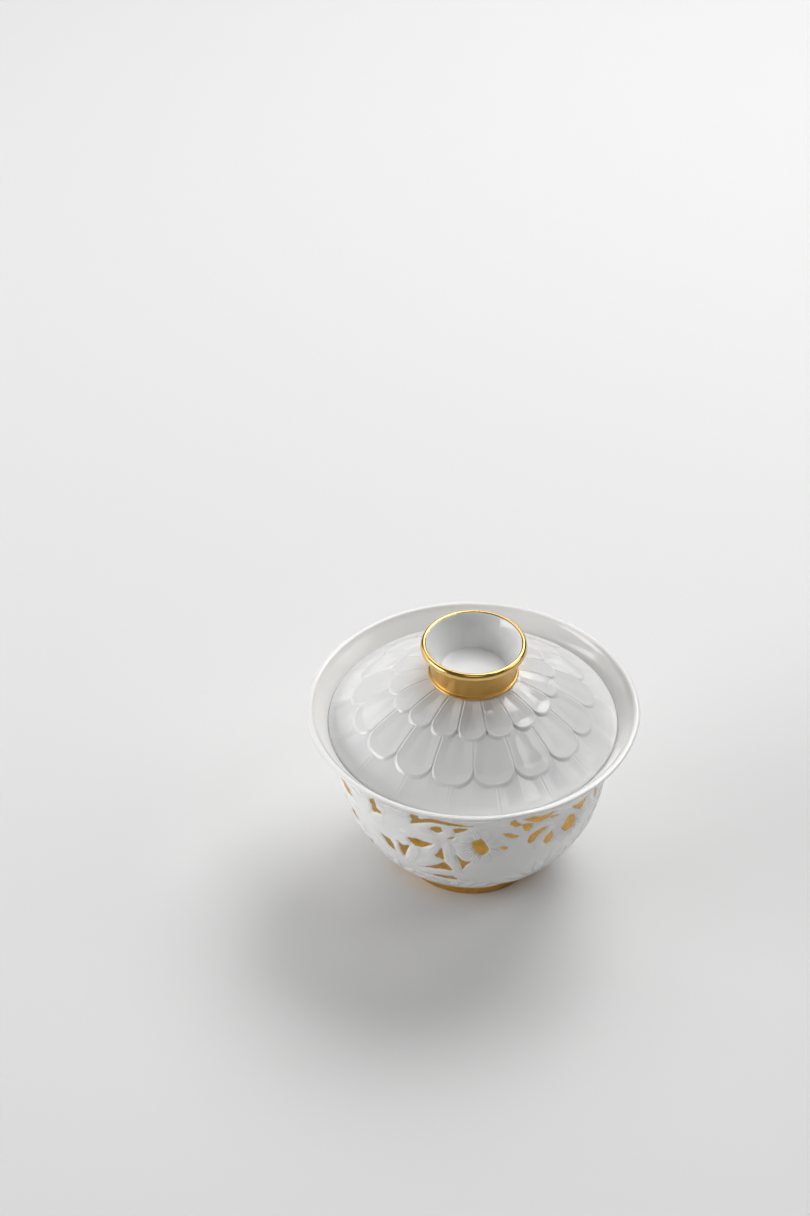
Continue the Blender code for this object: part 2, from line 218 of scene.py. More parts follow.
# Border of the gilding: half less the distance in mm over its softness, held to 0..1, made uneven by a noise
def makeGiltBorder():
    group, given, out = newGroup(
        "gilt border",
        [("Place", "NodeSocketVector", None), ("Distance", "NodeSocketFloat", 0.0),
         ("Unevenness", "NodeSocketFloat", 0.15), ("Softness", "NodeSocketFloat", 0.08)],
        [("Mask", "NodeSocketFloat")])
    wave = sums(group, "SUBTRACT", noise(group, given.outputs["Place"], gilding["border"], 3.0), 0.5)
    moved = sums(group, "MULTIPLY_ADD", wave, given.outputs["Unevenness"], given.outputs["Distance"])
    share = sums(group, "DIVIDE", moved, given.outputs["Softness"])
    turnedRound = sums(group, "SUBTRACT", 0.5, share)
    clamped = addNode(group, "ShaderNodeClamp", None, Value=turnedRound)
    group.links.new(clamped.outputs[0], out.inputs["Mask"])
    return group


# Glaze: a faint tint where it pools, as the square of a broad noise, and the low waves of a fired surface
def makeGlaze():
    group, given, out = newGroup(
        "glaze unevenness",
        [("Place", "NodeSocketVector", None), ("Base", "NodeSocketColor", (0.8, 0.8, 0.8, 1)),
         ("Pooled", "NodeSocketColor", (0.7, 0.7, 0.7, 1)), ("Roughness", "NodeSocketFloat", 0.1)],
        [("Colour", "NodeSocketColor"), ("Roughness", "NodeSocketFloat"), ("Height", "NodeSocketFloat")])
    broad = noise(group, given.outputs["Place"], glazeWaves["broad"])
    fine = noise(group, given.outputs["Place"], glazeWaves["fine"])
    tint = sums(group, "MULTIPLY", sums(group, "POWER", broad, 2.0), glazeWaves["pooling"])
    colour = blendColour(group, tint, given.outputs["Base"], given.outputs["Pooled"])
    group.links.new(colour, out.inputs["Colour"])
    rough = sums(group, "MULTIPLY_ADD", fine, glazeWaves["fineRough"], given.outputs["Roughness"])
    group.links.new(rough, out.inputs["Roughness"])
    ripples = sums(group, "MULTIPLY", fine, glazeWaves["fineHeight"])
    waves = sums(group, "MULTIPLY_ADD", broad, glazeWaves["broadHeight"], ripples)
    group.links.new(waves, out.inputs["Height"])
    return group


# Gilding: brushed-on gold with fine grain, darker and rougher where a noise of patches is high
def makeGilding():
    group, given, out = newGroup(
        "brushed gilding",
        [("Place", "NodeSocketVector", None), ("Gold", "NodeSocketColor", (0.8, 0.5, 0.2, 1)),
         ("Rubbed", "NodeSocketColor", (0.5, 0.3, 0.1, 1)), ("Roughness", "NodeSocketFloat", 0.3),
         ("Grain", "NodeSocketFloat", 0.05), ("Wear", "NodeSocketFloat", 1.0)],
        [("Colour", "NodeSocketColor"), ("Roughness", "NodeSocketFloat"), ("Height", "NodeSocketFloat")])
    patches = noise(group, given.outputs["Place"], gilding["patches"], 4.0, 0.6)
    grain = noise(group, given.outputs["Place"], gilding["grain"], 3.0, 0.6)
    worn = mapRange(group, patches, gilding["wornFrom"], gilding["wornTo"])
    worn = sums(group, "MULTIPLY", worn, given.outputs["Wear"])
    colour = blendColour(group, worn, given.outputs["Gold"], given.outputs["Rubbed"])
    group.links.new(colour, out.inputs["Colour"])
    rough = sums(group, "MULTIPLY_ADD", worn, gilding["wornRough"], given.outputs["Roughness"])
    group.links.new(rough, out.inputs["Roughness"])
    group.links.new(sums(group, "MULTIPLY", grain, given.outputs["Grain"]), out.inputs["Height"])
    return group


giltBorder = makeGiltBorder()
glazeGroup = makeGlaze()
gildingGroup = makeGilding()


def useGroup(tree, group, **links):
    return addNode(tree, "ShaderNodeGroup", {"node_tree": group}, **links).outputs


def attributeOf(tree, name):
    return addNode(tree, "ShaderNodeAttribute", {"attribute_name": name}).outputs["Fac"]


def startMaterial(name):
    material = bpy.data.materials.new(name)
    material.use_nodes = True
    tree = material.node_tree
    place = addNode(tree, "ShaderNodeTexCoord").outputs["Object"]
    return material, tree, place, tree.nodes["Principled BSDF"]


def giltMask(tree, place, look):
    return useGroup(tree, giltBorder, Place=place, Distance=attributeOf(tree, "giltDistance"),
                    Unevenness=look["unevenness"], Softness=look["softness"])["Mask"]


def product(tree, first, second, third):
    return sums(tree, "MULTIPLY", sums(tree, "MULTIPLY", first, second), third)


def finishMaterial(tree, shader, place, mask, tone, goldRoughness, extraHeight, look):
    # glaze and gilding blended by the mask, with a height for the bump in mm
    glaze = useGroup(tree, glazeGroup, Place=place, Base=look["glaze"], Pooled=look["pooled"],
                     Roughness=look["glazeRoughness"])
    gold = useGroup(tree, gildingGroup, Place=place, Gold=tone, Rubbed=look["rubbed"],
                    Roughness=goldRoughness, Grain=look["grain"], Wear=look["wear"])
    tree.links.new(blendColour(tree, mask, glaze["Colour"], gold["Colour"]), shader.inputs["Base Color"])
    tree.links.new(blendValue(tree, mask, glaze["Roughness"], gold["Roughness"]), shader.inputs["Roughness"])
    tree.links.new(mask, shader.inputs["Metallic"])
    tree.links.new(sums(tree, "MULTIPLY", mask, look["goldCoat"]), shader.inputs["Coat Weight"])
    height = blendValue(tree, mask, glaze["Height"], gold["Height"])
    height = sums(tree, "ADD", height, extraHeight)
    bump = addNode(tree, "ShaderNodeBump", None, Strength=1.0, Distance=mm, Height=height)
    tree.links.new(bump.outputs[0], shader.inputs["Normal"])
    shader.inputs["IOR"].default_value = porcelain["ior"]
    shader.inputs["Coat Roughness"].default_value = gilding["coatRoughness"]
    shader.inputs["Subsurface Weight"].default_value = porcelain["depth"]
    shader.inputs["Subsurface Radius"].default_value = porcelain["depthColours"]
    shader.inputs["Subsurface Scale"].default_value = porcelain["depthScale"]


# Bowl
bowl = {
    "rimRadius": 52.5 * mm, "height": 61.6 * mm, "lipRounding": 0.6 * mm,
    "bellyRadius": 43.4 * mm, "bellyHeight": 50.0 * mm, "bellyFullness": 2.9,
    "flareStart": 36.0 * mm, "flareSharpness": 3.1, "outlinePoints": 4001,
    "wallAtRim": 1.4 * mm, "wallAtFoot": 3.0 * mm, "floorDish": 0.7 * mm,
    "footRadius": 22.8 * mm, "footHeight": 4.2 * mm, "footWall": 2.8 * mm, "footEdge": 0.5 * mm,
    "recess": 5.0 * mm, "recessDome": 0.25 * mm,
    "around": 720, "wallRows": 110, "insideAround": 180, "insideRows": 40,
    "lipWave": 0.1 * mm, "lipWaveSeed": 11, "lipWaveStart": 0.85,
}
# Relief on the bowl, in mm: the gilded ground is sunk, leaves and petals stand up
relief = {
    "sink": 0.45, "ground": 0.34, "crown": 0.26, "edge": 0.5, "giltInset": 0.1, "giltInside": 1.0,
    "lowShare": 0.5, "lowReach": 7.0, "fadeWidth": 0.9, "topFade": (0.9, 0.97),
    "footBorder": 2.6, "scallops": 20, "scallopDepth": 0.3, "scallopWobble": 0.14, "scallopSeed": 3,
    "leafWidth": 4.6, "leafLeastSide": 2.6, "leafStretch": 1.5, "leafExtra": 3.5, "leafRise": 0.8,
    "petals": 10, "petalLength": 8.5, "petalWidth": 4.6, "petalRise": 1.0,
    "fanLength": 21.0, "fanWidth": 4.8, "fanRise": 1.6, "fanLeans": range(35, 160, 15),
    "roundness": 0.8, "midrib": 0.18, "midribWidth": 0.32, "leafRibs": 0.35,
}
bowlLook = {
    "glaze": (0.87, 0.866, 0.852, 1), "pooled": (0.82, 0.825, 0.82, 1), "glazeRoughness": 0.1,
    "gold": (0.72, 0.41, 0.08, 1), "rubbed": (0.54, 0.28, 0.05, 1), "goldRoughness": 0.34, "goldCoat": 0.15,
    "grain": 0.05, "wear": 1.0, "unevenness": 0.5, "softness": 0.16, "ribTurns": 6.5, "ribHeight": 0.07,
}
farFromGilt = 5.0  # a distance in mm well outside the gilding

# Gaps in the relief where the gilded ground shows: corners as azimuth in degrees and mm up the wall.
# They stand for half a turn and come again on the other half.
gapCorners = [
    [(-81.5, 40.0), (-70.2, 46.1), (-64.8, 45.8), (-61.5, 44.3), (-66.8, 43.0), (-73.1, 43.2)],
    [(-47.6, 52.1), (-43.5, 55.1), (-44.3, 50.1), (-41.7, 49.6), (-41.5, 48.3), (-43.7, 48.0),
     (-46.9, 46.7), (-46.6, 49.7)],
    [(-36.6, 57.1), (-31.8, 58.9), (-28.5, 57.7), (-32.6, 57.2)],
    [(-26.2, 55.6), (-24.1, 58.8), (-22.5, 59.0), (-23.0, 55.2), (-20.6, 56.2), (-18.3, 58.4),
     (-15.2, 58.8), (-12.1, 57.7), (-7.7, 56.6), (-1.2, 55.6), (-1.4, 54.9), (-7.0, 54.6), (-11.9, 55.2),
     (-16.9, 55.2), (-20.3, 53.8), (-24.0, 51.9), (-26.5, 50.8), (-25.6, 53.1)],
    [(-18.9, 50.9), (-16.9, 52.4), (-14.3, 53.1), (-13.7, 50.3), (-15.5, 49.3), (-17.5, 50.1)],
    [(-9.0, 53.0), (-6.3, 53.4), (-2.8, 53.3), (-5.6, 51.6), (-8.3, 50.4), (-8.7, 51.8)],
    [(-11.4, 47.1), (-10.0, 48.0), (-8.6, 48.4), (-9.8, 47.1)],
    [(-43.8, 38.4), (-41.4, 38.0), (-38.8, 38.0), (-37.3, 36.0), (-36.7, 32.8), (-39.3, 33.9),
     (-41.1, 36.2)],
    [(-34.3, 39.6), (-32.1, 38.1), (-28.7, 39.3), (-30.5, 35.7), (-32.0, 32.6), (-33.1, 35.0),
     (-33.6, 37.4)],
    [(-29.2, 43.0), (-25.2, 43.8), (-21.3, 43.5), (-17.7, 43.5), (-20.5, 41.8), (-22.7, 40.6),
     (-25.8, 40.6), (-27.8, 41.7)],
    [(-14.1, 42.3), (-13.3, 36.7), (-17.1, 37.9), (-15.8, 39.6)],
    [(-8.3, 39.9), (-6.2, 37.7), (-4.8, 36.9), (-1.8, 36.6), (-3.9, 35.1), (-4.8, 33.3), (-5.6, 32.2),
     (-6.0, 35.0), (-6.9, 37.3)],
    [(-22.8, 29.5), (-17.2, 32.5), (-13.2, 35.2), (-11.5, 33.6), (-9.9, 30.9), (-13.4, 31.0),
     (-17.9, 30.4)],
    [(-21.6, 24.8), (-15.8, 26.3), (-10.3, 26.6), (-7.7, 24.0), (-12.4, 23.5), (-16.1, 24.2)],
    [(-58.2, 26.9), (-53.5, 28.1), (-54.7, 22.2), (-56.9, 23.8)],
    [(-1.7, 46.2), (0.0, 47.0), (1.9, 48.0), (3.2, 46.6), (4.4, 44.6), (5.3, 42.4), (3.9, 40.7),
     (2.1, 40.1), (0.4, 41.6), (-1.2, 43.8)],
    [(10.6, 49.6), (14.2, 48.9), (18.2, 46.6), (15.3, 46.5), (12.3, 47.9)],
    [(9.7, 43.0), (11.4, 43.5), (13.6, 42.3), (11.9, 41.5)],
    [(13.1, 56.7), (14.3, 58.2), (15.8, 55.3), (17.9, 52.8), (15.5, 52.3), (13.5, 54.3)],
    [(17.0, 57.3), (20.9, 57.3), (26.2, 54.9), (29.2, 55.2), (32.4, 54.7), (29.8, 51.8), (25.8, 51.4),
     (21.9, 53.4)],
    [(29.9, 52.3), (33.1, 51.9), (35.6, 50.6), (32.9, 50.5)],
    [(18.4, 52.4), (21.3, 51.9), (23.4, 50.2), (21.9, 48.5), (19.9, 49.2)],
    [(17.0, 53.2), (20.4, 52.9), (24.9, 51.2), (20.5, 51.7)],
    [(22.0, 42.9), (22.7, 45.5), (25.3, 46.6), (27.9, 47.6), (31.0, 46.8), (27.2, 45.2), (25.2, 43.3),
     (23.5, 41.8)],
    [(29.7, 40.1), (30.4, 42.7), (33.2, 44.0), (34.1, 41.5), (32.9, 39.1), (30.9, 38.9)],
    [(38.6, 42.6), (39.9, 44.9), (41.9, 47.2), (45.3, 45.6), (46.9, 42.3), (45.0, 39.9), (41.9, 39.8)],
    [(42.8, 50.8), (46.1, 49.9), (48.7, 49.8), (52.6, 49.5), (51.6, 47.3), (49.2, 45.9), (45.2, 48.8)],
    [(60.3, 45.5), (59.2, 49.3), (61.5, 47.5), (62.6, 43.5)],
    [(65.5, 36.0), (67.0, 40.5), (71.5, 43.5), (70.8, 40.2), (68.4, 37.0)],
    [(68.0, 25.5), (69.5, 31.5), (72.5, 30.5), (71.0, 26.5)],
    [(69.5, 54.5), (73.0, 56.0), (79.5, 53.0), (76.0, 51.2), (72.0, 52.2)],
    [(78.0, 45.0), (80.2, 47.4), (84.8, 46.8), (86.6, 44.0), (82.4, 42.6)],
    [(85.5, 31.0), (83.6, 34.5), (87.6, 36.8), (91.0, 33.6), (88.5, 32.6)],
    [(93.0, 28.2), (96.5, 31.8), (100.6, 30.2), (97.2, 26.6)],
    [(-66.5, 36.4), (-62.4, 37.4), (-59.5, 33.4), (-63.8, 33.2)],
    [(-62.0, 57.2), (-57.5, 57.0), (-54.8, 53.8), (-60.6, 54.2)],
]
# Flowers and fans: azimuth in degrees and mm up the wall
flowers = [(2, 44.3), (43, 43.4), (82, 45.0)]
fans = [(38, 12.0), (-50, 8.0), (85, 9.5), (-14, 4.0), (61, 15.0)]
lipHeight = bowl["height"] - bowl["lipRounding"]


def bowlGround(height):
    # the belly is one less a power of what is left to its widest height; the lip is a power of the way up
    up = np.clip((height - bowl["footHeight"]) / (bowl["bellyHeight"] - bowl["footHeight"]), 0, 1)
    out = np.clip((height - bowl["flareStart"]) / (lipHeight - bowl["flareStart"]), 0, 1)
    belly = mix(bowl["footRadius"], bowl["bellyRadius"], 1 - (1 - up) ** bowl["bellyFullness"])
    return belly + (bowl["rimRadius"] - bowl["bellyRadius"]) * out ** bowl["flareSharpness"]


# The wall's outline in fine steps: its length from the foot, its outward direction and the inside face
fineHeights = np.linspace(bowl["footHeight"], lipHeight, bowl["outlinePoints"])
fineRadii = bowlGround(fineHeights)
fineLengths = np.concatenate([[0], np.cumsum(np.hypot(np.diff(fineHeights), np.diff(fineRadii)))])
wallLength = float(fineLengths[-1])
slope = np.gradient(fineRadii, fineHeights)
fineOut = 1 / np.hypot(1, slope)
fineUp = -slope * fineOut
wayUp = (fineHeights - bowl["footHeight"]) / (lipHeight - bowl["footHeight"])
fineWall = mix(bowl["wallAtFoot"], bowl["wallAtRim"], wayUp)
innerRadii = fineRadii - fineOut * fineWall
innerHeights = fineHeights - fineUp * fineWall


def insideRadius(height):  # the inside face, read off between its fine steps
    return np.interp(height, innerHeights, innerRadii)


def wrapHalfTurn(degrees):  # the pattern comes again after half a turn
    return (degrees + 90) % 180 - 90


def outlineDistance(across, up, corners):
    # signed distance to a closed outline: the nearest side, negative where an odd number of sides is crossed
    nearest = np.full(across.shape, 1e9)
    inside = np.zeros(across.shape, bool)
    for (ax, ay), (bx, by) in zip(corners, corners[1:] + corners[:1]):
        dx = bx - ax
        dy = by - ay
        share = np.clip(((across - ax) * dx + (up - ay) * dy) / (dx * dx + dy * dy), 0, 1)
        nearest = np.minimum(nearest, np.hypot(across - ax - share * dx, up - ay - share * dy))
        crosses = (ay > up) != (by > up)
        inside ^= crosses & (across < ax + (up - ay) * dx / (dy if dy else 1e-9))
    return np.where(inside, -nearest, nearest)


def flatCorners(corners):  # an outline laid flat about its middle, in mm
    middle = np.mean([azimuth for azimuth, _ in corners])
    up = np.mean([height for _, height in corners])
    radius = float(np.interp(up * mm, fineLengths, fineRadii)) / mm
    return middle, radius, [(math.radians(azimuth - middle) * radius, height) for azimuth, height in corners]


def gapLeaves(corners):  # a leaf lies along the outside of each long side of a gap
    middle, radius, flat = flatCorners(corners)
    sides = list(zip(flat, flat[1:] + flat[:1]))
    turn = math.copysign(1, sum(ax * by - bx * ay for (ax, ay), (bx, by) in sides))
    half = relief["leafWidth"] / 2
    leaves = []
    for (ax, ay), (bx, by) in sides:
        size = math.hypot(bx - ax, by - ay)
        if size > relief["leafLeastSide"]:
            azimuth = middle + math.degrees(((ax + bx) / 2 + turn * (by - ay) / size * half) / radius)
            up = (ay + by) / 2 + -turn * (bx - ax) / size * half
            length = size * relief["leafStretch"] + relief["leafExtra"]
            lean = math.degrees(math.atan2(by - ay, bx - ax))
            leaves.append((azimuth, up, length, relief["leafWidth"], lean, False, relief["leafRise"]))
    return leaves


def bowlLeaves():
    # leaves beside the gaps, petals round the flowers and long petals in fans, each as azimuth, mm up the
    # wall, length, width, lean in degrees, whether it starts at that place, and rise
    leaves = []
    for corners in gapCorners:
        leaves += gapLeaves(corners)
    petal = (relief["petalLength"], relief["petalWidth"])
    for azimuth, up in flowers:
        for number in range(relief["petals"]):
            leaves.append((azimuth, up, *petal, 360 * number / relief["petals"], True, relief["petalRise"]))
    longPetal = (relief["fanLength"], relief["fanWidth"])
    for azimuth, up in fans:
        for lean in relief["fanLeans"]:
            leaves.append((azimuth, up, *longPetal, lean, True, relief["fanRise"]))
    return leaves


def leafField(azimuth, up, radius):
    # the highest leaf's back at each point, rounded across and tapering along, less a midrib's groove;
    # with the distance across that leaf and the strength of its ribs
    highest = np.zeros(azimuth.shape)
    ribs = np.zeros(azimuth.shape)
    strength = np.zeros(azimuth.shape)
    for middle, leafUp, length, width, lean, rooted, rise in bowlLeaves():
        sideways = np.radians(wrapHalfTurn(azimuth - middle)) * radius
        upwards = up - leafUp
        angle = math.radians(lean)
        along = sideways * math.cos(angle) + upwards * math.sin(angle)
        across = upwards * math.cos(angle) - sideways * math.sin(angle)
        if rooted:
            along = along - length / 2
        place = np.clip(np.abs(along) / (length / 2), 0, 1)
        halfWidth = width / 2 * (1 - place**2) + 1e-6
        share = np.clip(1 - (across / halfWidth) ** 2, 0, 1)
        midrib = relief["midrib"] * np.exp(-((across / relief["midribWidth"]) ** 2)) * (1 - place)
        back = rise * share ** relief["roundness"] * (1 - place**4) - midrib
        better = (np.abs(across) < halfWidth) & (back > highest)
        highest = np.where(better, back, highest)
        ribs = np.where(better, across, ribs)
        ribShare = 1.0 if rooted else relief["leafRibs"]
        strength = np.where(better, share * (1 - place**2) * ribShare, strength)
    return highest, ribs, strength


def lipWave(azimuth):  # the rim isn't quite round
    return bowl["lipWave"] * ripple(azimuth, bowl["lipWaveSeed"], 5, 23, 5)


def bowlWall(azimuth):
    # the ground moved outwards by the relief: raised ground plus leaf backs, less the sink, faded at its ends
    lengths = np.linspace(0, wallLength, bowl["wallRows"] + 1)[:, None]
    height = np.interp(lengths, fineLengths, fineHeights)
    ground = np.interp(lengths, fineLengths, fineRadii)
    outPart = np.interp(lengths, fineLengths, fineOut)
    upPart = np.interp(lengths, fineLengths, fineUp)
    up = lengths / mm + 0 * azimuth
    patternUp = up + relief["sink"]
    gap = np.full(up.shape, wallLength / mm)
    for corners in gapCorners:
        middle, _, flat = flatCorners(corners)
        across = np.radians(wrapHalfTurn(azimuth - middle)) * (ground / mm)
        gap = np.minimum(gap, outlineDistance(across + 0 * up, patternUp, flat))
    crown, ribs, strength = leafField(azimuth + 0 * up, patternUp, ground / mm)
    scallop = relief["scallopDepth"] * np.abs(np.sin(np.radians(azimuth * relief["scallops"])))
    wobble = relief["scallopWobble"] * ripple(azimuth, relief["scallopSeed"], 30, 90, 6)
    footBorder = relief["footBorder"] + (scallop + wobble)
    rise = smooth(0, relief["edge"], gap)
    fadeUp = 1 - smooth(*relief["topFade"], up * mm / wallLength)
    fade = smooth(0, relief["fadeWidth"], up - footBorder) * fadeUp
    low = mix(relief["lowShare"], 1.0, smooth(0, relief["lowReach"], up))
    raised = rise * (relief["ground"] + relief["crown"] * crown)
    moved = fade * low * (raised - relief["sink"]) * mm
    wave = lipWave(azimuth) * smooth(bowl["lipWaveStart"], 1.0, lengths / wallLength)
    gilt = np.minimum(gap - relief["giltInset"], up - footBorder)
    return section(ground + outPart * moved + wave, azimuth, height + upPart * moved,
                   giltDistance=gilt, ribAcross=ribs, ribStrength=strength * rise * fade)


def bowlFoot(azimuth):
    # the recess, its rounded corner, then the ring's two rounded edges and its outside, which are gilded
    inner = bowl["footRadius"] - bowl["footWall"]
    outer = bowl["footRadius"]
    edge = bowl["footEdge"]
    recess = bowl["recess"]
    turns = [(1 - math.sin(t), 1 - math.cos(t)) for t in np.linspace(0, math.pi / 2, 5)]
    shares = np.linspace(0.12, 0.86, 7)
    outline = [(inner * share, recess + bowl["recessDome"] * (1 - share)) for share in shares]
    outline += [(inner - 2 * edge * side, recess - 2 * edge * down) for side, down in turns]
    outline += [(inner + edge * down, edge * side) for side, down in turns]
    outline += [(outer - edge * side, edge * down) for side, down in turns]
    outline += [(outer, mix(edge, bowl["footHeight"], share)) for share in (0.33, 0.66)]
    radius, height = np.hsplit(np.array(outline), 2)
    gilt = np.where(radius > inner + 0.2 * mm, -3.0, height / mm - relief["giltInside"])
    return section(radius, azimuth, height, giltDistance=gilt, ribAcross=0, ribStrength=0)


def bowlLip(azimuth):  # most of a half ellipse from the outside face over to the inside face
    turn = np.linspace(0.25, math.pi - 0.25, 7)[:, None]
    innerLip = insideRadius(lipHeight)
    middle = (bowl["rimRadius"] + innerLip) / 2
    half = (bowl["rimRadius"] - innerLip) / 2
    wave = lipWave(azimuth) * (1 + np.cos(turn)) / 2
    height = lipHeight + bowl["lipRounding"] * np.sin(turn)
    return section(middle + half * np.cos(turn) + wave, azimuth, height,
                   giltDistance=farFromGilt, ribAcross=0, ribStrength=0)


def bowlInside(azimuth):  # the inside face from the lip down, rows closer together near the floor
    share = np.linspace(0, 1, bowl["insideRows"])[:, None]
    facing = mix(lipHeight, bowl["footHeight"], np.sin(math.pi / 2 * share))
    facing[0] = np.interp(lipHeight, innerHeights, fineHeights)
    radius = np.interp(facing, fineHeights, innerRadii)
    height = np.interp(facing, fineHeights, innerHeights)
    return section(radius, azimuth, height, giltDistance=farFromGilt, ribAcross=0, ribStrength=0)


def bowlFloor(azimuth):  # a shallow dish: its depth falls with the square of the radius
    share = np.linspace(0.85, 0.1, 8)[:, None]
    return section(innerRadii[0] * share, azimuth, innerHeights[0] - bowl["floorDish"] * (1 - share**2),
                   giltDistance=farFromGilt, ribAcross=0, ribStrength=0)


def makeBowl(material):
    azimuth = ringAzimuths(bowl["around"])
    coarse = ringAzimuths(bowl["insideAround"])
    sections = [bowlFoot(coarse), bowlWall(azimuth), bowlLip(azimuth), bowlInside(coarse), bowlFloor(coarse)]
    low = bowl["recess"] + bowl["recessDome"]
    return buildShell("bowlShell", sections, low, float(innerHeights[0]) - bowl["floorDish"], material)


def bowlMaterial():  # fine ribs along the leaves: the sine of the distance across them
    material, tree, place, shader = startMaterial("gilded relief porcelain")
    wave = sums(tree, "SINE", sums(tree, "MULTIPLY", attributeOf(tree, "ribAcross"), bowlLook["ribTurns"]))
    rib = product(tree, wave, attributeOf(tree, "ribStrength"), bowlLook["ribHeight"])
    finishMaterial(tree, shader, place, giltMask(tree, place, bowlLook), bowlLook["gold"],
                   bowlLook["goldRoughness"], rib, bowlLook)
    return material


# Lid
lid = {
    "seat": 56.3 * mm, "clearance": 0.3 * mm, "edge": 1.5 * mm, "wall": 2.3 * mm, "edgeRounding": 0.35 * mm,
    "rise": 18.7 * mm, "fall": 1.5, "flare": 0.45, "petals": 17, "petalColumns": 44,
    "reach1": 0.40, "reach2": 0.77, "turn1": -2.4, "turn2": 9.3,
    "tipRounding1": 3.9 * mm, "tipRounding2": 4.7 * mm, "tipPower": 2.4,
    "step": 0.2 * mm, "stepFall": 1.3, "lap": 0.2 * mm, "groove": 0.03 * mm, "grooveWidth": 0.25 * mm,
    "bead": 0.11 * mm, "beadWidth": 0.28 * mm, "beadPlace": 0.5 * mm,
    "dish": 0.34 * mm, "dishReach": 3.4 * mm, "outerShare": 0.7, "easing": 3.0,
    "borderEasing": 0.08 * mm, "edgeEasing": 0.5 * mm, "outerStriae": 1.0, "petalStriae": 0.25,
    "tierRows": 32, "clustering": 0.55, "insideRows": 34, "insideTurn": -1.288,
}
# the lid's glaze and pooled tones sit below the bowl's, though both are the same porcelain: painted shade
# over the whole lid
lidLook = {
    "glaze": (0.79, 0.79, 0.785, 1), "pooled": (0.75, 0.755, 0.755, 1), "glazeRoughness": 0.07,
    # the satin gold is darker, partly painted shade, and the polished gold paler and brighter, partly painted
    # highlight, besides the two finishes
    "satinWithShade": (0.72, 0.43, 0.11, 1), "polishedWithHighlight": (0.82, 0.53, 0.17, 1), "rubbed": (0.6, 0.34, 0.08, 1),
    "satinRoughness": 0.34, "polishedRoughness": 0.19, "polishedFrom": 84.0 * mm, "polishedWhole": 84.4 * mm,
    "goldCoat": 0.3, "grain": 0.01, "wear": 0.2, "unevenness": 0.06, "softness": 0.06,
    "striae": 95.0, "striaHeight": 0.026, "turningMarks": 2600.0, "turningHeight": 0.05,
}
knob = {
    "baseRadius": 13.4 * mm, "neckRadius": 14.8 * mm, "height": 12.0 * mm, "neckCurve": 1.4,
    "beadRadius": 16.5 * mm, "beadWidth": 2.1 * mm, "beadHeight": 2.8 * mm, "beadArc": (-75, 132),
    "floorRadius": 10.0 * mm, "floorRise": 1.4 * mm, "floorDish": 0.15 * mm, "floorFillet": 0.3 * mm,
    "insideCurve": 0.85, "footBead": 0.6 * mm, "footBeadRise": 0.45 * mm, "footBeadOut": 0.1 * mm,
    "footBeadArc": (-70, 90), "neckStart": 1.02 * mm,
}


def lidRadius(height):  # the bowl's inside radius less the clearance, measured square to the wall
    step = 0.1 * mm
    lean = (insideRadius(height + step) - insideRadius(height - step)) / (2 * step)
    return float(insideRadius(height) - lid["clearance"] * math.hypot(1, lean))


edgeRadius = lidRadius(lid["seat"])
halfPetal = 180 / lid["petals"]
coarseColumns = lid["petals"] * lid["petalColumns"] // 4


def domeHeight(radius):
    # the seat plus a rise that falls with a power of the way out, and a little more just inside the edge
    out = np.clip((radius - knob["baseRadius"]) / (edgeRadius - knob["baseRadius"]), 0, 1)
    return lid["seat"] + lid["rise"] * (1 - out ** lid["fall"] - lid["flare"] * out**3 * (1 - out))


def petalPlace(azimuth, turn):  # 0 on a petal's middle line, -1 and 1 at its sides
    pitch = 360 / lid["petals"]
    return 2 * (((azimuth - turn) / pitch + 0.5) % 1) - 1


def tipRadius(azimuth, reach, turn, rounding):
    # the reach, less the rounding times what a rounded curve of the way across falls short of one
    across = np.abs(petalPlace(azimuth, turn))
    back = rounding * (1 - np.sqrt(np.clip(1 - across ** lid["tipPower"], 0, 1)))
    return mix(knob["baseRadius"], edgeRadius, reach) - back


def tierColumns(turn):  # azimuths closer together where two petals meet and along their middle lines
    columns = lid["petalColumns"]
    share = np.arange(columns) / columns
    warped = share - lid["clustering"] * np.sin(4 * math.pi * share) / (4 * math.pi)
    petal = np.arange(lid["petals"])[:, None]
    return (turn + 360 / lid["petals"] * (petal + warped)).reshape(1, -1)


def petalRelief(azimuth, radius, outer, centreTurn, rounding):
    # a bell-shaped bead just inside the petal's border, such a groove between petals, and a dished face
    across = np.abs(petalPlace(azimuth, centreTurn))
    halfPitch = math.radians(halfPetal)
    toSide = (1 - across) * halfPitch * radius
    toBorder = toSide
    if rounding:
        power = lid["tipPower"]
        lean = rounding * power / 2 * across ** (power - 1) / np.sqrt(np.clip(1 - across**power, 0.02, 1))
        toBorder = np.minimum(toSide, (outer - radius) / np.hypot(1, lean / (halfPitch * radius)))
    bead = lid["bead"] * np.exp(-(((toBorder - lid["beadPlace"]) / lid["beadWidth"]) ** 2))
    groove = -lid["groove"] * np.exp(-((toSide / lid["grooveWidth"]) ** 2))
    dish = -lid["dish"] * smooth(lid["beadPlace"], lid["dishReach"], toBorder)
    return bead + groove + dish, toBorder / mm


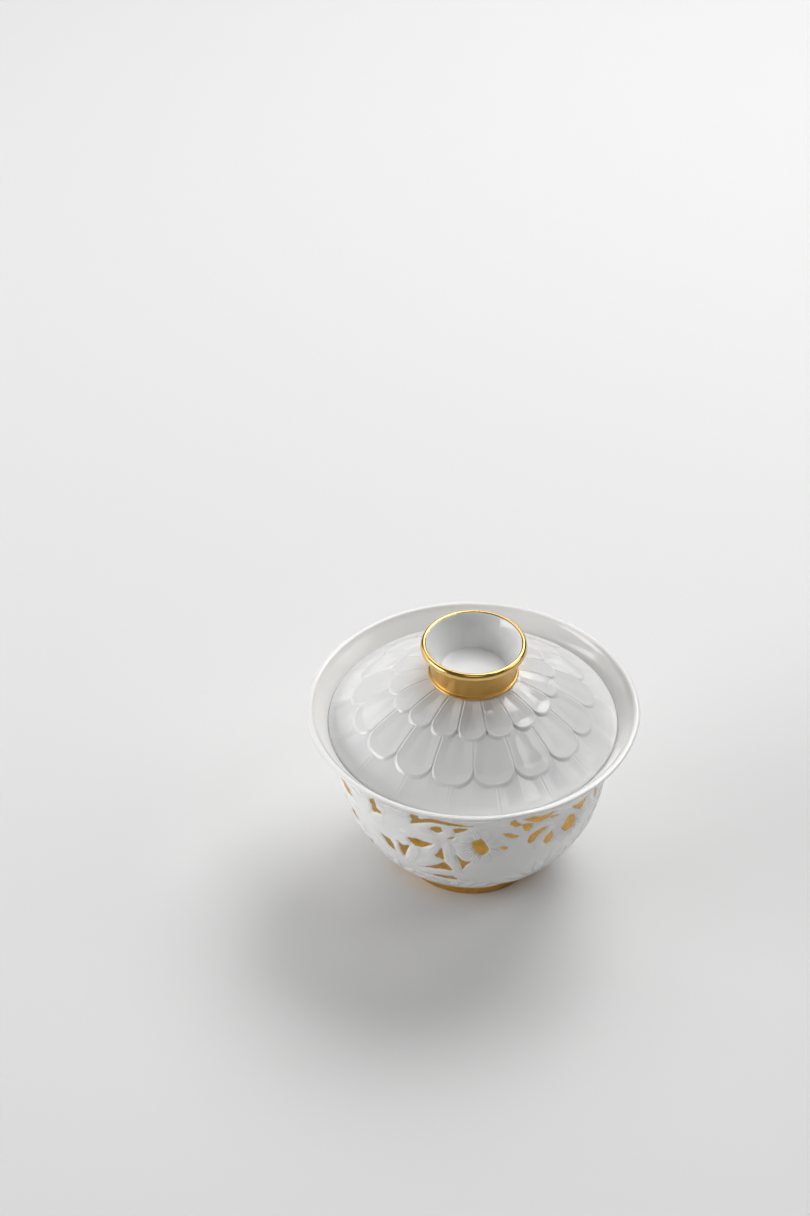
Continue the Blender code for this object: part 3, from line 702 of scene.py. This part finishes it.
def lidUnderside(ceiling):
    # the dome lowered by the wall, out to the lid's foot, then its rounded edge and its side
    under = lid["seat"] - lid["edge"]
    footRadius = lidRadius(under)
    drop = lid["wall"] * math.hypot(1, lid["rise"] / edgeRadius)
    coarse = ringAzimuths(coarseColumns, lid["insideTurn"])
    radius = np.linspace(0.03, 1, lid["insideRows"])[:, None] * (footRadius - lid["wall"])
    height = np.minimum(ceiling, domeHeight(radius) - drop)
    inside = section(radius, coarse, height, giltDistance=farFromGilt, striation=0)
    turn = np.linspace(0, math.pi / 2, 4)[:, None]
    radius = footRadius - lid["edge"] / 2 + lid["edge"] / 2 * np.sin(turn)
    height = under + lid["edge"] / 4 * (1 - np.cos(turn))
    rounded = section(radius, coarse, height, giltDistance=farFromGilt, striation=0)
    share = np.linspace(0.1, 1, 4)[:, None]
    height = mix(under + lid["edge"] / 4, lid["seat"] - lid["edgeRounding"], share)
    radius = footRadius + (edgeRadius - footRadius) * (height - under) / lid["edge"]
    columns = tierColumns(lid["turn2"] - halfPetal)
    side = section(radius, columns, height, giltDistance=farFromGilt, striation=0)
    return [inside, rounded, side]


def lidTiers():
    # three tiers from the edge inwards: the dome plus the petals' relief, less a sink towards a tier's start
    tips1 = (lid["reach1"], lid["turn1"], lid["tipRounding1"])
    tips2 = (lid["reach2"], lid["turn2"], lid["tipRounding2"])
    tiers = (
        (lid["turn2"] - halfPetal, lid["turn2"] + halfPetal, tips2, None),
        (lid["turn2"] - halfPetal, lid["turn2"], tips1, tips2),
        (lid["turn1"], lid["turn1"], None, tips1),
    )
    sections = []
    for columnTurn, centreTurn, start, end in tiers:
        azimuth = tierColumns(columnTurn)
        inner = tipRadius(azimuth, *start) if start else knob["baseRadius"] + 0 * azimuth
        outer = tipRadius(azimuth, *end) if end else edgeRadius + 0 * azimuth
        lap = lid["lap"] if start else 0.0
        fromTip = np.linspace(0, 1, lid["tierRows"])[:, None]
        share = 1 - (0.3 * fromTip + 0.7 * fromTip**2.2)
        radius = mix(inner + lap, outer, share)
        toStart = (radius - inner) / mm
        toEdge = (edgeRadius - radius) / mm
        raised, toBorder = petalRelief(azimuth, radius, outer, centreTurn, end[2] if end else 0)
        if end is None:
            raised = raised * smooth(0, lid["easing"], toEdge) * lid["outerShare"]
        if start is None:
            raised = raised * smooth(0, lid["easing"], toStart)
        sink = lid["step"] * (1 - share) ** lid["stepFall"] if start else 0.0
        if end:
            eased = lid["borderEasing"] * (1 - smooth(0, 0.25, toBorder))
        else:
            eased = lid["edgeEasing"] * (1 - smooth(0, 0.6, toEdge)) ** 2
        striation = lid["petalStriae" if end else "outerStriae"] * smooth(0.2, 1.2, toBorder) + 0 * radius
        height = domeHeight(radius) + raised - sink - eased
        sections.append(section(radius, azimuth, height, giltDistance=farFromGilt, striation=striation))
    return sections


def arc(middleRadius, middleHeight, halfWidth, halfHeight, degrees, count):
    # part of an ellipse, from the first to the second of the degrees; 0 is outwards
    turns = [math.radians(t) for t in np.linspace(*degrees, count)]
    return [(middleRadius + halfWidth * math.cos(t), middleHeight + halfHeight * math.sin(t)) for t in turns]


def knobRing():
    # a bead at the base, the neck, a full bead at the mouth, then the inside wall, its fillet and the floor
    base = float(domeHeight(knob["baseRadius"]))
    floor = base + knob["floorRise"]
    beadHalf = knob["beadWidth"] / 2
    beadMiddle = knob["beadRadius"] - beadHalf
    beadHeight = base + knob["height"] - knob["beadHeight"] / 2
    neck = beadHeight - knob["beadHeight"] / 2
    fillet = knob["floorFillet"]
    outline = arc(knob["baseRadius"] + knob["footBeadOut"], base + knob["footBeadRise"],
                  knob["footBead"], knob["footBeadRise"], knob["footBeadArc"], 9)
    for s in np.linspace(0, 1, 14):
        outline.append((mix(knob["baseRadius"], knob["neckRadius"], s ** knob["neckCurve"]),
                        mix(base + knob["neckStart"], neck, s)))
    outline += arc(beadMiddle, beadHeight, beadHalf, knob["beadHeight"] / 2, knob["beadArc"], 26)
    goldRings = len(outline) - 2
    topRadius, topHeight = outline[-1]
    for s in np.linspace(0.04, 1, 18):
        outline.append((mix(topRadius, knob["floorRadius"] + fillet, s ** knob["insideCurve"]),
                        mix(topHeight, floor + fillet, s)))
    for t in np.linspace(0.2, 1, 4):
        outline.append((knob["floorRadius"] + fillet * (1 - t), floor + fillet * (1 - t) ** 2))
    for s in np.linspace(0.96, 0.12, 8):
        outline.append((knob["floorRadius"] * s, floor - knob["floorDish"] * (1 - s)))
    outline = np.array(outline)
    steps = np.concatenate([[0], np.cumsum(np.hypot(*np.diff(outline, axis=0).T))]) / mm
    gilt = np.maximum(-steps - 0.1, steps - steps[goldRings])[:, None]
    azimuth = ringAzimuths(coarseColumns, lid["turn1"])
    ring = section(outline[:, :1], azimuth, outline[:, 1:], giltDistance=gilt, striation=0)
    return ring, floor - knob["floorDish"]


def makeLid(material):
    ceiling = float(domeHeight(0.0)) - lid["wall"]
    ring, knobFloor = knobRing()
    return buildShell("lidShell", [*lidUnderside(ceiling), *lidTiers(), ring], ceiling, knobFloor, material)


def lidMaterial():
    # fine lines down the petals are a noise of the direction from the axis, turning marks on the knob are a
    # noise of the height; the knob's bead is polished, the rest of its gilding satin, and the bead's gold
    # tone is also paler and brighter, partly painted highlight, while the side's is darker, partly painted
    # shade
    material, tree, place, shader = startMaterial("petalled porcelain with gilded knob")
    mask = giltMask(tree, place, lidLook)
    parts = addNode(tree, "ShaderNodeSeparateXYZ", None, Vector=place).outputs
    polishedWithHighlight = mapRange(tree, parts["Z"], lidLook["polishedFrom"], lidLook["polishedWhole"])
    roughness = blendValue(tree, polishedWithHighlight, lidLook["satinRoughness"], lidLook["polishedRoughness"])
    # the bead's paler, brighter gold is partly painted highlight and the side's darker gold partly painted
    # shade
    tone = blendColour(tree, polishedWithHighlight, lidLook["satinWithShade"], lidLook["polishedWithHighlight"])
    flat = addNode(tree, "ShaderNodeCombineXYZ", None, X=parts["X"], Y=parts["Y"]).outputs[0]
    spoke = addNode(tree, "ShaderNodeVectorMath", {"operation": "NORMALIZE"}, Vector=flat).outputs[0]
    lines = noise(tree, spoke, lidLook["striae"])
    striae = product(tree, lines, attributeOf(tree, "striation"), lidLook["striaHeight"])
    marks = addNode(tree, "ShaderNodeTexNoise", {"noise_dimensions": "1D"}, W=parts["Z"],
                    Scale=lidLook["turningMarks"], Detail=2.0).outputs["Fac"]
    turning = product(tree, marks, mask, lidLook["turningHeight"])
    finishMaterial(tree, shader, place, mask, tone, roughness, sums(tree, "ADD", striae, turning), lidLook)
    return material


bowlShell = makeBowl(bowlMaterial())
lidShell = makeLid(lidMaterial())
for piece, node, slot in ((bowlShell, "bowl", "porcelain_bowl"), (lidShell, "lid", "porcelain_lid")):
    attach(piece, "root")
    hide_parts(node)
print("pieces made")

# Floor
floorLook = {"sides": (-4, 4, -3, 5), "colour": (0.8, 0.8, 0.8, 1), "roughness": 0.8, "shine": 0.0}
west, east, south, north = floorLook["sides"]
floorMesh = bpy.data.meshes.new("floor")
corners = [(west, south, 0), (east, south, 0), (east, north, 0), (west, north, 0)]
floorMesh.from_pydata(corners, [], [(0, 1, 2, 3)])
floor = bpy.data.objects.new("floor", floorMesh)
bpy.context.scene.collection.objects.link(floor)
floorMaterial = bpy.data.materials.new("pale floor")
floorMaterial.use_nodes = True
floorShader = floorMaterial.node_tree.nodes["Principled BSDF"]
floorShader.inputs["Base Color"].default_value = floorLook["colour"]
floorShader.inputs["Specular IOR Level"].default_value = floorLook["shine"]
floorShader.inputs["Roughness"].default_value = floorLook["roughness"]
floorMesh.materials.append(floorMaterial)

# Lights: place, the point that each looks at, width, depth and power
ground = (0.0, 0.0, 0.0)
foot = (0.0, 0.0, 0.04)
lights = {
    "topBackRight": ((0.9, 1.3, 2.0), ground, 1.2, 1.2, 3.1),
    "topBackLeft": ((-0.9, 1.2, 2.0), ground, 1.2, 1.2, 4.3),
    "backRight": ((0.55, 0.80, 1.15), ground, 0.8, 0.8, 6.6),
    "back": ((0.1, 1.1, 1.0), ground, 0.8, 0.8, 3.9),
    "backNear": ((0.25, 0.45, 0.85), ground, 0.5, 0.5, 1.9),
    "right": ((1.2, 0.1, 0.8), ground, 0.7, 0.7, 2.6),
    "leftLow": ((-1.3, -0.2, 0.4), foot, 0.8, 0.6, 9.8),
    "leftBackLow": ((-1.2, 0.55, 0.4), foot, 0.8, 0.6, 2.3),
    "front": ((0.0, -0.9, 1.25), ground, 0.7, 0.7, 1.0),
    "window": ((0.66, -0.28, 1.2), (0.0, 0.0, 0.05), 0.32, 0.24, 0.8),
}


def placed(x, y, z, place):  # the matrix of an object whose own axes point along x, y and z
    matrix = Matrix.Identity(4)
    for row in range(3):
        matrix[row] = (x[row], y[row], z[row], place[row])
    return matrix


def pointAt(place, target):  # looks along its own -Z from place to target, with its own X level
    z = np.array(place, float) - np.array(target, float)
    z /= np.linalg.norm(z)
    x = np.cross((0, 0, 1), z)
    x /= np.linalg.norm(x)
    return placed(x, np.cross(z, x), z, place)


for name, (place, target, width, depth, power) in lights.items():
    data = bpy.data.lights.new(name, "AREA")
    data.shape = "RECTANGLE"
    data.size = width
    data.size_y = depth
    data.energy = power
    lamp = bpy.data.objects.new(name, data)
    lamp.matrix_world = pointAt(place, target)
    bpy.context.scene.collection.objects.link(lamp)

# World: a little light from all round, and a paler tone where the camera sees it directly
worldLook = {"light": 0.08, "seen": 0.6}
world = bpy.data.worlds.new("studio")
bpy.context.scene.world = world
world.use_nodes = True
background = world.node_tree.nodes["Background"]
background.inputs["Color"].default_value = (1, 1, 1, 1)
seen = addNode(world.node_tree, "ShaderNodeLightPath").outputs["Is Camera Ray"]
strength = sums(world.node_tree, "MULTIPLY_ADD", seen, worldLook["seen"], worldLook["light"])
world.node_tree.links.new(strength, background.inputs["Strength"])

# Camera: looks down by pitch, then turns by roll about its own line of sight; angles in degrees
eye = {
    "sensor": 36, "lens": 69.61, "pitch": 38.67, "roll": -0.41,
    "place": (-21.18 * mm, -559.48 * mm, 548.35 * mm),
}
cameraData = bpy.data.cameras.new("camera")
cameraData.sensor_fit = "VERTICAL"
cameraData.sensor_height = eye["sensor"]
cameraData.lens = eye["lens"]
camera = bpy.data.objects.new("camera", cameraData)
pitch = math.radians(eye["pitch"])
roll = math.radians(eye["roll"])
right = np.array([1.0, 0, 0])
up = np.array([0, math.sin(pitch), math.cos(pitch)])
back = np.array([0, -math.cos(pitch), math.sin(pitch)])
rolledRight = right * math.cos(roll) + up * math.sin(roll)
rolledUp = up * math.cos(roll) - right * math.sin(roll)
camera.matrix_world = placed(rolledRight, rolledUp, back, eye["place"])
bpy.context.scene.collection.objects.link(camera)
bpy.context.scene.camera = camera
bpy.context.scene.view_settings.view_transform = "Standard"

print("stage, lights and camera set")
